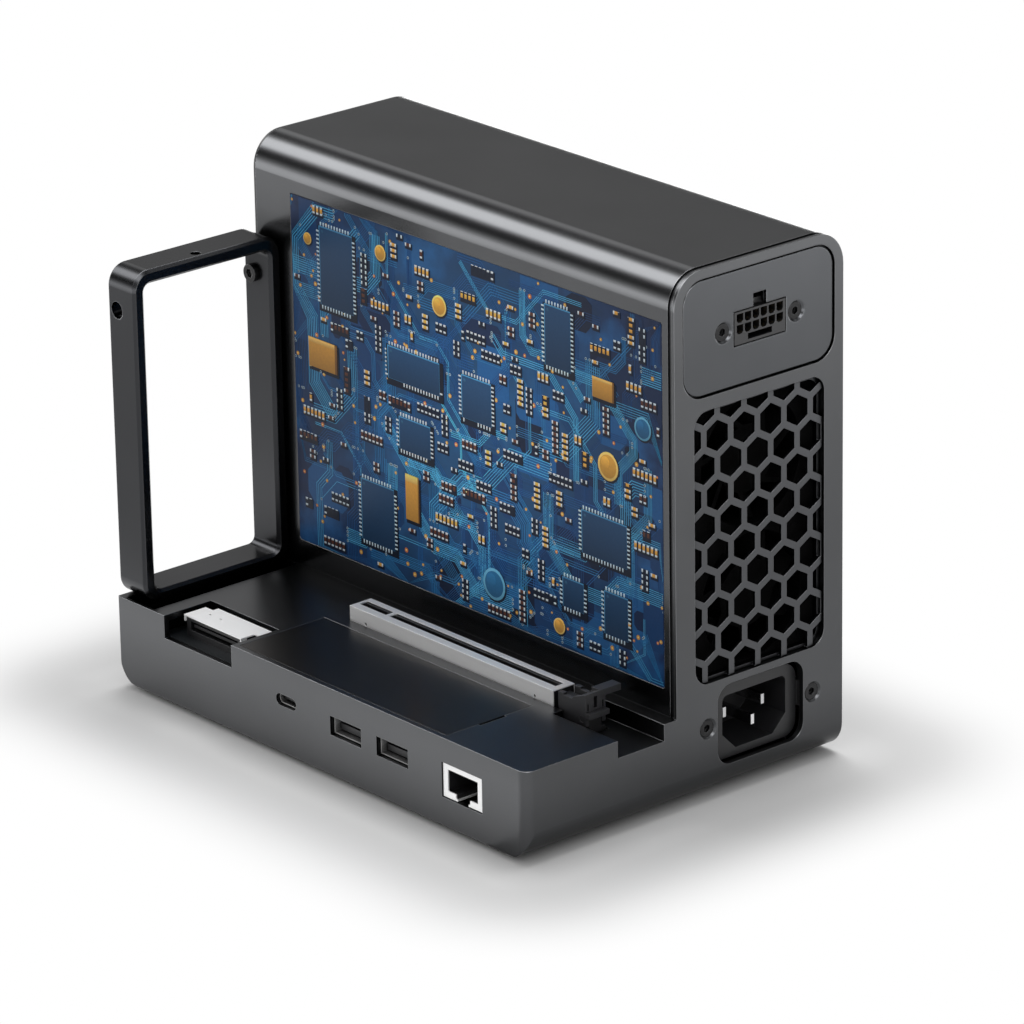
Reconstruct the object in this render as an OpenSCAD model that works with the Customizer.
// A desktop dock for one full-size expansion card. A low base carries the card slot and the
// ports, a tower at the back holds the power supply, and a frame at the left end holds the
// card's bracket. X runs along the slot towards the grille end, Y from the port side to the
// back and Z up. The origin is on the ground under the middle of the dock.

/* [Body] */
// Length of the dock along the card slot
body_l = 181.5; // [180:0.5:215]
// Depth of the deck in front of the tower
deck_d = 55.5; // [53:0.1:70]
// Height of the deck above the underside
deck_h = 27; // [26.6:0.1:34]
// Depth of the tower
tower_d = 63.3; // [60:0.1:64]
// Thickness of the outer walls
wall = 1.8; // [1.5:0.1:2.2]
// Thickness of the deck
deck_t = 2; // [1.8:0.1:2.4]
// Radius of the tower's long top edges
tower_r = 10; // [7:0.5:14]
// Radius of the base's lower left and right edges
base_r = 8.5; // [6:0.5:9]
// Radius of the base's upright right front corner
corner_r = 3.2; // [1:0.2:4]
// Radius of the base's upright left front corner
left_corner_r = 0.5; // [0.3:0.1:3]
// Radius of the base's lower front and back edges
edge_r = 1.3; // [0.5:0.1:1.5]
// Height of the feet below the underside
foot_h = 1.2; // [0.8:0.1:2.5]
// Diameter of a foot
foot_dia = 13; // [8:0.5:16]

/* [Tower ends] */
// Thickness of the lip that closes each end of the tower
lip_t = 1; // [0.6:0.1:1.4]
// Width of the shadow groove between the lip and the sleeve
groove_w = 1.6; // [1:0.1:2]
// Depth of the shadow groove
groove_depth = 0.5; // [0.4:0.1:1.2]
// Length of the spigot that locates the sleeve
spigot_l = 2; // [1:0.1:3]
// Thickness of the spigot
spigot_t = 1.4; // [1:0.1:1.8]

/* [Grilles] */
// Distance from the tower's front and back to a grille window
window_side = 7.15; // [7:0.05:11]
// Height of a grille window
window_h = 80.6; // [70:0.2:84]
// Corner radius of a grille window
window_r = 5; // [2:0.5:8]
// Height of a window's lower edge above the deck
window_up = 7.5; // [6:0.5:12]
// Distance between neighbouring cells
cell_pitch = 10.02; // [7:0.02:14]
// Width of the web between cells
cell_web = 2; // [1:0.1:3]
// Thickness of a grille plate
grille_t = 1; // [0.8:0.1:1.6]

/* [Deck] */
// Distance from the left end to the drive cover
drive_cover_left = 54.9; // [54.5:0.1:56]
// Distance from the right end to the drive cover
drive_cover_right = 35.3; // [35:0.1:40]
// Distance from the tower to the drive cover
drive_cover_back = 22.3; // [22:0.1:27]
// Thickness of the drive cover
drive_cover_t = 1; // [0.8:0.1:1.2]
// Distance from the tower to the channel beside the latch
channel_back = 4.7; // [4.4:0.1:5]
// Width of the channel
channel_w = 17.2; // [16:0.1:18]
// Depth of the channel
channel_depth = 5.1; // [4:0.1:5.2]
// Distance from the left end to the bracket trench
trench_left = 3; // [2:0.1:3.5]
// Width of the bracket trench
trench_w = 13; // [12.8:0.1:13.2]
// Depth of the bracket trench
trench_depth = 5.1; // [4:0.1:5.2]

/* [Card frame] */
// Width of the frame's bars along the dock
ring_w = 11.6; // [10:0.1:11.8]
// Thickness of the frame's bars
ring_t = 4.2; // [3.4:0.1:5]
// Height of the frame above the deck
ring_h = 101.3; // [95:0.1:110]
// Distance from the base's front to the frame
ring_front = 1.3; // [1.2:0.1:2.5]
// Outer corner radius of the frame
ring_r = 6; // [4.5:0.5:9]
// Diameter of the threaded hole for the card's bracket screw
bracket_hole_dia = 3.1; // [2.5:0.1:3.5]

/* [Card slot] */
// Distance from the right end to the slot
slot_right = 31.4; // [31:0.1:32]
// Distance from the tower to the slot's middle
slot_back = 13.9; // [13.6:0.1:14.2]
// Length of the slot's steel shield
slot_l = 89; // [88:0.1:90]
// Width of the slot over its shield
slot_w = 8; // [7.6:0.1:8.2]
// Height of the slot above the deck
slot_rise = 4.4; // [3.5:0.1:6]
// Width of the slit that takes the card
card_slit = 1.9; // [1.7:0.05:2.2]

/* [Boards] */
// Drop from the deck surface to the top of the main board
board_drop = 7; // [6.9:0.1:7.2]
// Thickness of the circuit boards
board_t = 1.6; // [1.2:0.1:1.8]

/* [Ports] */
// Distance from the right end to the middle of the small port
small_port_right = 103.8; // [98:0.1:111]
// Distance from the right end to the middle of the first wide port
wide_port_right = 77.3; // [75.5:0.1:83]
// Distance between the wide ports
wide_port_pitch = 20.4; // [18:0.1:22]
// Distance from the right end to the middle of the network port
net_port_right = 27; // [26.5:0.1:31]
// Distance from the left end to the host connector's recess
host_left = 21.8; // [21.6:0.1:22.4]
// Length of the host connector's recess
host_l = 31.3; // [30.8:0.1:31.5]
// Depth of the host connector's recess from the front
host_d = 17.5; // [17:0.1:18]

/* [Mains inlet] */
// Height of the inlet's middle above the underside
inlet_up = 20.3; // [20:0.1:21]
// Distance between the inlet's screws
inlet_screw_gap = 40; // [39:0.5:42]

/* [Power socket] */
// Margin of the socket plate inside the tower's end
plate_margin = 3.8; // [3.2:0.1:4.5]
// Height of the socket plate
plate_h = 33; // [30:0.5:33]
// Distance from a grille window up to the socket plate
plate_up = 4.5; // [3:0.1:8]
// Corner radius of the socket plate
plate_r = 6.5; // [4:0.5:8]
// Distance from the top of the tower down to the socket's middle
socket_down = 20.2; // [18:0.1:21]
// Distance between the socket's screws
socket_screw_gap = 27.2; // [26:0.2:30]

/* [Side panel] */
// Distance from the left end to the panel
panel_left = 16.6; // [14:0.1:24]
// Distance from the right end to the panel
panel_right = 5; // [4:0.1:12]
// Distance from the top of the tower down to the panel
panel_down = 14.1; // [12:0.1:20]
// Distance from the deck up to the panel
panel_up = 8; // [6:0.1:16]
// Thickness of the panel
panel_t = 0.8; // [0.6:0.1:1]

/* [Fans] */
// Depth of a fan
fan_d = 20; // [15:1:28]
// Blades on each fan
fan_blades = 7; // [5:1:9]

/* [Hidden] */
$fn = 48;

// Overrun of every cut past the face that it opens
cut = 1;
// Gap round pieces that drop into a pocket
seat_gap = 0.2;
// Radial clearance of a screw in its hole
screw_gap = 0.05;
// Radial clearance of a turning pin or shaft
run_gap = 0.04;

// Planes that the pieces are placed from
plate_top = 3.4;
body_d = deck_d + tower_d;
tower_h = deck_h + window_up + window_h + plate_up + plate_h + plate_top;
window_w = tower_d - 2 * window_side;
left_x = -body_l / 2;
right_x = body_l / 2;
front_y = -body_d / 2;
back_y = body_d / 2;
tower_y = back_y - tower_d;
tower_mid_y = back_y - tower_d / 2;
base_z = foot_h;
deck_z = foot_h + deck_h;
top_z = foot_h + tower_h;
board_top_z = deck_z - board_drop;
board_z = board_top_z - board_t;
end_t = lip_t + groove_w;
left_lip_t = 0.7;
sleeve_x = left_x + left_lip_t;
sleeve_end_x = right_x - end_t;
window_z = deck_z + window_up;
window_mid_z = window_z + window_h / 2;

// Bottom cover, its bosses and its feet
cover_margin = base_r + 1;
cover_rim = 2.4;
cover_r = 2;
cover_t = wall;
boss_dia = 6;
boss_in = 13;
boss_front = 6.2;
boss_back = 6.2;
boss_mid = 1.5;
boss_hole_l = 7;
screw_dia = 2.9;
head_dia = 5.4;
head_t = 1.5;
foot_in = 24;
foot_seat = 0.5;
cover_boss_places = [for (x = [left_x + boss_in, right_x - boss_in],
    y = [front_y + boss_front, tower_y + boss_mid, back_y - boss_back]) [x, y]];
foot_places = [for (x = [left_x + foot_in, right_x - foot_in],
    y = [front_y + foot_in, back_y - foot_in]) [x, y]];

// Opening between the base and the tower, and the screws that hold the tower down
floor_left = 20;
floor_front = 8;
floor_back = 10;
tower_boss_l = 8;
tower_boss_w = 5.4;
tower_boss_h = 7;
tower_screw_in = 3.2;
tower_screw_l = 6;
tower_screw_x = 36;
foot_block_l = 7;
foot_block_w = 32;
foot_block_h = 3.6;
foot_screw_l = 3.2;
foot_block_screw = 11;
tower_screw_places = [for (x = [sleeve_x + tower_screw_x, sleeve_end_x - tower_screw_x],
    y = [tower_y + wall + tower_screw_in, back_y - wall - tower_screw_in]) [x, y]];
foot_block_places = [for (y = [tower_mid_y - foot_block_screw, tower_mid_y + foot_block_screw])
    [left_x + end_t + foot_block_l / 2, y]];

// Pockets hanging under the deck
pocket_t = 1.5;
channel_l = 27;
channel_y = tower_y - channel_back - channel_w;
trench_front = ring_front - seat_gap;
trench_back = 1;
trench_right_x = left_x + trench_left + trench_w;

// Main board and its bosses
board_left_x = trench_right_x + pocket_t + seat_gap;
board_right = 9;
board_right_x = right_x - board_right;
board_front_y = front_y + wall + seat_gap;
board_back_y = tower_y - 2 * seat_gap - pocket_t;
board_boss_dia = 5;
board_boss_in = 3.4;
board_boss_right = 13;
board_screw_dia = 2.4;
board_screw_l = 5;
board_boss_places = [
    [board_left_x + board_boss_in, channel_y - board_boss_dia],
    [board_left_x + board_boss_in, board_back_y - board_boss_in],
    [board_right_x - board_boss_right, channel_y - 2 * board_boss_dia],
    [left_x + body_l / 2, board_back_y - board_boss_in]];

// Drive cover and the socket under it
drive_ledge = 2;
drive_gap = 0.15;
drive_rib_w = 1.2;
drive_rib_in = 6;
drive_x = left_x + drive_cover_left;
drive_y = front_y + wall;
drive_cover_l = body_l - drive_cover_left - drive_cover_right;
drive_cover_w = tower_y - drive_cover_back - drive_y;
pry_l = 9.5;
pry_w = 0.9;
pry_front = 13.4;
drive_socket_l = 8.6;
drive_socket_w = 22;
drive_socket_h = 4;
drive_socket_in = 6;
drive_slit_up = 1.6;
drive_slit_h = 0.9;
drive_slit_w = 19.8;
drive_slit_d = 6;

// Card frame
ring_x = left_x + ring_w;
ring_low_y = front_y + ring_front;
ring_top_z = deck_z + ring_h;
ring_foot_t = 3.3;
ring_in_r = 2.5;
ring_bevel = 0.9;
tenon_in = 7;
ring_screw_in = 3.5;
ring_screw_down = 12.7;
ring_screw_bite = 1.4;
access_dia = 5.2;
bracket_hole_in = 3;
bracket_hole_front = 25.2;
bracket_hole_y = ring_low_y + bracket_hole_front;
ring_base_screw_in = 17;
ring_base_screw_l = 6;
tenon_mid_x = (left_x + trench_left + ring_x) / 2;

// Card slot
slot_x = right_x - slot_right - slot_l;
slot_end_x = slot_x + slot_l;
slot_y = tower_y - slot_back;
slot_top_z = deck_z + slot_rise;
shield_t = 0.3;
shield_front = 1.2;
shield_back = 2;
slot_gap = 0.4;
slit_floor = 3;
short_slit_start = 1;
short_slit_l = 11.9;
key_l = 1.4;
slit_end = 2.2;
slit_edge = 0.3;
groove_up = 1;
lip_w = 0.6;
dot_dia = 1;
dot_in = 7;
contact_pitch = 2;
contact_w = 0.7;
contact_t = 0.25;
contact_h = 5.5;

// Latch at the slot's right end
latch_l = 13.25;
pivot_in = 1.6;
pivot_up = 6.4;
pivot_x = slot_end_x + latch_l - pivot_in;
pivot_z = board_top_z + pivot_up;
pin_dia = 2;
pin_in = 0.1;
post_r = 1.5;
post_w = 4.4;
tail_h = 3;
tail_gap = 0.5;
tail_post_l = 6;
tail_post_top = 1.6;
latch_w = 7.4;
latch_gap = 0.2;
latch_rise = 7.5;
latch_low = 2;
latch_slope_l = 5;
latch_slope_h = 1.8;
cheek_start = 11.4;
cheek_t = 1.3;
cheek_step = 5.8;
cheek_notch = 9.2;
cheek_notch_h = 2.6;
cheek_down = 2;
end_block_l = 3;
end_block_up = 2.05;
toe_start = 1.65;
toe_l = 1.65;
toe_low = 0.5;
slot_cut_w = 1.3;
slot_cut_d = 1.4;
slot_cut_low = 2.85;
slot_cut_high = 6.3;
nick_w = 0.6;
nick_y = 2.75;
nick_low = 2.35;
nick_high = 4.5;
wing_l = 3.6;
wing_w = 5.8;
wing_t = 1.9;

// Host connector
host_x = left_x + host_left;
host_side = 2;
host_front = 5.9;
host_body_l = 26.4;
host_body_d = 10;
host_h = 6.5;
host_plate_t = 0.4;
host_step = 1.8;
host_step_d = 5;
host_notch_l = 3.4;
host_notch_d = 2;
host_skirt_h = 2;
host_skirt_d = 2.2;
host_lip = 0.6;
host_hole_l = 1.2;
host_hole_w = 0.5;
host_hole_in = 5;
host_hole_gap = 5;
host_mouth_l = 22;
host_mouth_h = 2.8;
host_mouth_up = 2;
host_mouth_d = 7;
host_tongue_t = 0.9;

// Ports under the board
port_front = 1.4;
small_port_x = right_x - small_port_right;
wide_port_x = right_x - wide_port_right;
net_port_x = right_x - net_port_right;
port_gap = 0.25;
wide_w = 13.2;
wide_h = 5.3;
wide_d = 14;
shell_t = 0.35;
small_w = 8.6;
small_h = 3.1;
small_d = 7.5;
small_front = 1.2;
small_tongue_w = 6;
small_tongue_t = 0.7;
small_tongue_in = 1;
port_back_t = 2;
wide_tongue_w = 11;
wide_tongue_t = 1.9;
wide_tongue_up = 1;
wide_tongue_in = 1.6;
net_w = 16.6;
net_h = 10;
net_d = 14;
net_front = 0.4;
net_over = 1;
net_plate_d = 1.4;
net_shell_t = 0.4;
net_cavity_w = 12.6;
net_cavity_h = 6.5;
net_cavity_drop = 1.5;
net_cavity_d = 10;
net_roof = 0.4;
net_step_w = 6;
net_step_h = 1.3;
net_notch_w = 4.6;

// Mains inlet
inlet_shift = 0.1;
inlet_w = 32.8;
inlet_h = 24.1;
inlet_top_gap = 1.6;
inlet_r = 5;
inlet_gap = 0.4;
inlet_sink = 2.8;
inlet_ear_w = 48;
inlet_ear_h = 7.6;
inlet_ear_r = 3.5;
inlet_ear_t = 3;
inlet_depth = 21;
inlet_screw_rise = 0.7;
inlet_screw_l = 4.6;
cavity_w = 24.2;
cavity_h = 16.6;
cavity_cut = 5;
cavity_r = 2;
cavity_depth = 16;
cavity_drop = 1;
blade_w = 3;
blade_t = 1.2;
blade_gap = 14.6;
blade_rise = 0;
earth_drop = 3;
blade_sink = 4.3;
earth_sink = 0.6;
tab_t = 0.8;
tab_l = 7;
countersink_dia = 6.2;
countersink_t = 1.4;
head_sink = 0.5;
drive_dia = 2.4;
drive_depth = 1.6;
inlet_y = tower_mid_y + inlet_shift;
inlet_z = base_z + inlet_up;
blade_places = [[inlet_y - blade_gap / 2, inlet_z + blade_rise, blade_sink],
    [inlet_y + blade_gap / 2, inlet_z + blade_rise, blade_sink],
    [inlet_y, inlet_z - earth_drop, earth_sink]];

// Power socket in the tower's end
plate_sink = 0.4;
plate_t = 1.2;
plate_gap = 0.6;
socket_shift = 0.5;
socket_w = 19;
socket_h = 9.5;
socket_gap = 0.35;
socket_depth = 13;
socket_ear_w = 36;
socket_ear_h = 13;
socket_ear_t = 2.5;
socket_cell = 2.45;
socket_cell_h = 2.6;
socket_cell_cut = 0.6;
socket_pitch = 2.97;
socket_row_pitch = 3.2;
socket_columns = 6;
socket_cell_up = 3.05;
socket_cell_depth = 9;
socket_screw_l = 4.6;
sideband_w = 9;
sideband_h = 1.7;
sideband_up = 0.825;
latch_slot_w = 5;
latch_slot_h = 4.1;
power_pin_dia = 1;
power_pin_l = 16;
power_pin_in = 2.5;
socket_y = tower_mid_y + socket_shift;
socket_z = top_z - socket_down;

// Side panel
panel_gap = 0.1;
panel_r = 0.8;

// Grille seat and fans
seat_side = 0.4;
seat_w = tower_d - 2 * (wall + seat_gap + spigot_t + seat_side);
seat_over = 3.4;
seat_h = window_h + 2 * seat_over;
seat_r = 3;
seat_screw_in = 3;
end_screw_bite = 2;
grille_gap = 0.15;
grille_sink = 0.7;
cell_dip = 0.1;
bracket_t = 1.2;
fan_margin = 0.3;
fan_w = window_h / 2 - fan_margin;
fan_rim = 1.2;
fan_bore = fan_w - 2 * fan_rim;
fan_hole_in = 4;
fan_screw_dia = 2.8;
fan_screw_gap = 0.3;
fan_x = right_x - end_t - grille_t - bracket_t - fan_d;
fan_mid_z = [window_mid_z - fan_w / 2, window_mid_z + fan_w / 2];
hub_dia = fan_w / 2;
hub_t = 1.4;
fan_base_t = 2;
fan_base_dia = 16;
strut_w = 2.4;
bearing_dia = 7;
bearing_l = 8;
shaft_dia = 3;
rotor_gap = 0.8;
blade_gap_r = 0.7;
blade_plate_t = 1.1;
fan_pitch_deg = 38;
cell_rows = 6;
cell_columns = 3;
cell_side_shift = -0.25;
cell_up_shift = 1.4;

// Power supply in the tower
spacer_h = 6;
spacer_dia = 6;
spacer_bite = 1.2;
supply_left = 12;
supply_fan_gap = 8;
supply_up = 8;
supply_down = 14;
supply_hole_in = 6;
supply_x = left_x + supply_left;
supply_end_x = fan_x - supply_fan_gap;
supply_z = deck_z + supply_up;
supply_top_z = top_z - supply_down;
supply_back_y = back_y - wall - spacer_h;
supply_front_y = supply_back_y - board_t;
core_w = 38;
core_h = 34;
core_d = 26;
core_leg = 8;
core_x = 58;
core_z = 22;
winding_gap = 1;
winding_r = 4;
can_dia = 25;
can_l = 38;
can_bead = 1;
can_in = 18;
can_step = 28;
can_down = 23;
bead_start_share = 1 / 8;
bead_end_share = 1 / 4;
small_can_dia = 9;
small_can_l = 20;
small_can_x = 66;
small_can_z = 14;
small_can_step = 11;
sink_w = 36;
sink_t = 3;
sink_d = 34;
sink_x = 60;
sink_down = 24;
sink_pitch = 13;
fin_t = 1.2;
fin_l = 6;
fin_count = 7;
choke_dia = 26;
choke_bore = 11;
choke_t = 11;
choke_x = 22;
choke_z = 22;
choke_r = 2.7;

module box(a, b) {
    translate(a)
        cube(b - a);
}

module rect(a, b) {
    translate(a)
        square(b - a);
}

module round_rect(a, b, r) {
    rect([a.x + r, a.y], [b.x - r, b.y]);
    rect([a.x, a.y + r], [b.x, b.y - r]);
    for (x = [a.x + r, b.x - r], y = [a.y + r, b.y - r])
        translate([x, y])
            circle(r);
}

// Rectangle with fully round ends
module pill(a, b) {
    r = (b.y - a.y) / 2;
    rect([a.x + r, a.y], [b.x - r, b.y]);
    for (x = [a.x + r, b.x - r])
        translate([x, a.y + r])
            circle(r);
}

// Rectangle with its two upper corners rounded
module arch(a, b, r) {
    rect(a, [b.x, b.y - r]);
    rect([a.x + r, a.y], [b.x - r, b.y]);
    for (x = [a.x + r, b.x - r])
        translate([x, b.y - r])
            circle(r);
}

// Rectangle with its two lower corners rounded
module tub(a, b, r) {
    rect([a.x, a.y + r], b);
    rect([a.x + r, a.y], [b.x - r, b.y]);
    for (x = [a.x + r, b.x - r])
        translate([x, a.y + r])
            circle(r);
}

module along_x(x0, x1) {
    translate([x0, 0, 0])
        rotate([90, 0, 90])
            linear_extrude(x1 - x0)
                children();
}

module along_y(y0, y1) {
    translate([0, y1, 0])
        rotate([90, 0, 0])
            linear_extrude(y1 - y0)
                children();
}

module along_z(z0, z1) {
    translate([0, 0, z0])
        linear_extrude(z1 - z0)
            children();
}

// Round bar along X
module bar_x(x0, x1, y, z, d) {
    translate([x0, y, z])
        rotate([0, 90, 0])
            cylinder(d = d, h = x1 - x0);
}

// Round bar along Y
module bar_y(y0, y1, x, z, d) {
    translate([x, y1, z])
        rotate([90, 0, 0])
            cylinder(d = d, h = y1 - y0);
}

// Cap along X whose outline moves outwards by grow from one face to the other
module flare(x, depth, a, b, r, grow) {
    along_y(a.x + r, b.x - r)
        polygon([[x, a.y], [x + depth, a.y - grow], [x + depth, b.y + grow], [x, b.y]]);
    along_z(a.y + r, b.y - r)
        polygon([[x, a.x], [x + depth, a.x - grow], [x + depth, b.x + grow], [x, b.x]]);
    for (y = [a.x + r, b.x - r], z = [a.y + r, b.y - r])
        translate([x, y, z])
            rotate([0, 90, 0])
                cylinder(h = depth, r1 = r, r2 = r + grow);
}

// Countersunk screw pointing away from X, its head flush at x
module sunk_screw_x(x, y, z, d, l, clear) {
    bar_x(x - l, x, y, z, d + 2 * clear);
    translate([x - countersink_t, y, z])
        rotate([0, 90, 0])
            cylinder(h = countersink_t, d1 = d + 2 * clear, d2 = countersink_dia + 2 * clear);
}

// Screw pointing up with its head's underside at z
module up_screw(p, z, d, l) {
    translate([p.x, p.y, z])
        cylinder(d = d, h = l);
    translate([p.x, p.y, z - head_t])
        difference() {
            cylinder(d = head_dia, h = head_t);
            translate([0, 0, -cut])
                cylinder(d = d, h = cut + head_t / 2, $fn = 6);
        }
}

// Tower's cross-section, inset from its outer faces
module tower_profile(inset, low_z) {
    arch([tower_y + inset, low_z], [back_y - inset, top_z - inset], tower_r - inset);
}

module spigot_ring(x0, x1) {
    along_x(x0, x1)
        difference() {
            tower_profile(wall + seat_gap, deck_z);
            tower_profile(wall + seat_gap + spigot_t, deck_z - cut);
        }
}

// Outline of a grille window, moved outwards by grow
module window_outline(grow = 0) {
    round_rect([tower_mid_y - window_w / 2 - grow, window_z - grow],
        [tower_mid_y + window_w / 2 + grow, window_z + window_h + grow], window_r + grow);
}

module seat_outline() {
    round_rect([tower_mid_y - seat_w / 2, window_mid_z - seat_h / 2],
        [tower_mid_y + seat_w / 2, window_mid_z + seat_h / 2], seat_r);
}

// Screw axes of the grille seats, for a bar of diameter d from x0 to x1
module seat_bars(x0, x1, d) {
    for (y = [-1, 1], z = [-1, 1])
        bar_x(x0, x1, tower_mid_y + y * (seat_w / 2 - seat_screw_in),
            window_mid_z + z * (seat_h / 2 - seat_screw_in), d);
}

// Base seen from above, with its two front corners rounded
module base_outline() {
    rect([left_x, front_y + left_corner_r], [right_x - corner_r, back_y]);
    rect([left_x + left_corner_r, front_y], [right_x - corner_r, back_y]);
    rect([left_x + left_corner_r, front_y + corner_r], [right_x, back_y]);
    translate([left_x + left_corner_r, front_y + left_corner_r])
        circle(left_corner_r);
    translate([right_x - corner_r, front_y + corner_r])
        circle(corner_r);
}

module base_shell() {
    difference() {
        intersection() {
            along_y(front_y, back_y)
                tub([left_x, base_z], [right_x, deck_z], base_r);
            along_z(base_z, deck_z)
                base_outline();
            along_x(left_x, right_x)
                tub([front_y, base_z], [back_y, deck_z], edge_r);
        }
        along_y(front_y + wall, back_y - wall)
            tub([left_x + wall, base_z + wall], [right_x - wall, deck_z - deck_t], base_r - wall);
        along_z(base_z - cut, base_z + wall + cut)
            round_rect([left_x + cover_margin, front_y + cover_rim],
                [right_x - cover_margin, back_y - cover_rim], cover_r);
    }
}

module pocket_blocks() {
    box([left_x + wall, front_y + wall, deck_z - trench_depth - pocket_t],
        [trench_right_x + pocket_t, tower_y - trench_back + pocket_t, deck_z - deck_t]);
    box([right_x - channel_l - pocket_t, channel_y - pocket_t,
        deck_z - channel_depth - pocket_t],
        [right_x - wall, channel_y + channel_w + pocket_t, deck_z - deck_t]);
}

module chassis_bosses() {
    for (p = cover_boss_places)
        translate([p.x, p.y, base_z + cover_t])
            cylinder(d = boss_dia, h = deck_h - cover_t - deck_t);
    for (p = board_boss_places)
        translate([p.x, p.y, board_top_z])
            cylinder(d = board_boss_dia, h = board_drop - deck_t);
}

module deck_cuts() {
    box([left_x + trench_left, front_y + trench_front, deck_z - trench_depth],
        [trench_right_x, tower_y - trench_back, deck_z + cut]);
    box([right_x - channel_l, channel_y, deck_z - channel_depth],
        [right_x + cut, channel_y + channel_w, deck_z + cut]);
    box([slot_x - slot_gap, slot_y - slot_w / 2 - slot_gap, board_top_z],
        [right_x - channel_l + cut, slot_y + slot_w / 2 + slot_gap, deck_z + cut]);
    box([slot_end_x - slot_gap, slot_y - latch_w / 2 - latch_gap - tail_gap, board_top_z],
        [pivot_x + post_r + tail_gap, slot_y + latch_w / 2 + latch_gap + tail_gap, deck_z + cut]);
    box([host_x, front_y - cut, board_top_z], [host_x + host_l, front_y + host_d, deck_z + cut]);
    box([drive_x, drive_y, deck_z - drive_cover_t],
        [drive_x + drive_cover_l, drive_y + drive_cover_w, deck_z + cut]);
    box([drive_x + drive_ledge, drive_y + drive_ledge, board_top_z],
        [drive_x + drive_cover_l - drive_ledge, drive_y + drive_cover_w - drive_ledge,
        deck_z + cut]);
    box([drive_x + drive_cover_l - cut, front_y + pry_front, deck_z - drive_cover_t],
        [drive_x + drive_cover_l + pry_w, front_y + pry_front + pry_l, deck_z + cut]);
    box([left_x + floor_left, tower_y + floor_front, deck_z - deck_t - cut],
        [right_x - end_t, back_y - floor_back, deck_z + cut]);
}

module port_cuts() {
    along_y(front_y - cut, front_y + wall + cut) {
        pill([small_port_x - small_w / 2 - port_gap, board_z - small_h - port_gap],
            [small_port_x + small_w / 2 + port_gap, board_z + port_gap]);
        for (x = [wide_port_x, wide_port_x + wide_port_pitch])
            rect([x - wide_w / 2 - port_gap, board_z - wide_h - port_gap],
                [x + wide_w / 2 + port_gap, board_z + port_gap]);
        rect([net_port_x - net_w / 2 - port_gap, board_z + net_over - net_h - port_gap],
            [net_port_x + net_w / 2 + port_gap, board_z + net_over + port_gap]);
    }
}

module end_cuts() {
    along_x(right_x - end_t - cut, right_x + cut) {
        window_outline();
        inlet_outline();
        rect([socket_y - socket_w / 2 - socket_gap, socket_z - socket_h / 2 - socket_gap],
            [socket_y + socket_w / 2 + socket_gap, socket_z + socket_h / 2 + socket_gap]);
        rect([socket_y - latch_slot_w / 2, socket_z],
            [socket_y + latch_slot_w / 2, socket_z + socket_h / 2 + latch_slot_h]);
    }
    along_x(right_x - plate_sink - plate_t, right_x + cut)
        round_rect([tower_y + plate_margin - plate_gap, top_z - plate_top - plate_h - plate_gap],
            [back_y - plate_margin + plate_gap, top_z - plate_top + plate_gap],
            plate_r + plate_gap);
    for (s = [-1, 1]) {
        sunk_screw_x(right_x, inlet_y + s * inlet_screw_gap / 2, inlet_z + inlet_screw_rise,
            screw_dia, end_t + cut, screw_gap);
        sunk_screw_x(right_x - plate_sink, socket_y + s * socket_screw_gap / 2, socket_z,
            screw_dia, end_t + cut, screw_gap);
    }
    seat_bars(right_x - end_t - cut, right_x - end_t + end_screw_bite, screw_dia + 2 * screw_gap);
}

module chassis_screw_holes() {
    for (p = cover_boss_places)
        translate([p.x, p.y, base_z])
            cylinder(d = screw_dia + 2 * screw_gap, h = cover_t + boss_hole_l);
    for (p = board_boss_places)
        translate([p.x, p.y, board_top_z - cut])
            cylinder(d = board_screw_dia + 2 * screw_gap, h = cut + board_drop - deck_t);
    for (p = concat(tower_screw_places, foot_block_places))
        translate([p.x, p.y, deck_z - deck_t - cut])
            cylinder(d = screw_dia + 2 * screw_gap, h = deck_t + 2 * cut);
    for (y = [ring_low_y + ring_base_screw_in, tower_y - ring_base_screw_in])
        translate([tenon_mid_x, y, deck_z - trench_depth - pocket_t - cut])
            cylinder(d = screw_dia + 2 * screw_gap, h = pocket_t + 2 * cut);
}

// Base tray with its deck and the tower's right end in one piece
module chassis() {
    color("dimgray")
        difference() {
            union() {
                base_shell();
                pocket_blocks();
                chassis_bosses();
                along_x(right_x - lip_t, right_x)
                    tower_profile(0, base_z + base_r);
                along_x(right_x - end_t, right_x - lip_t)
                    tower_profile(groove_depth, deck_z - deck_t);
                spigot_ring(right_x - end_t - spigot_l, right_x - end_t);
            }
            deck_cuts();
            port_cuts();
            end_cuts();
            chassis_screw_holes();
        }
}

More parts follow.
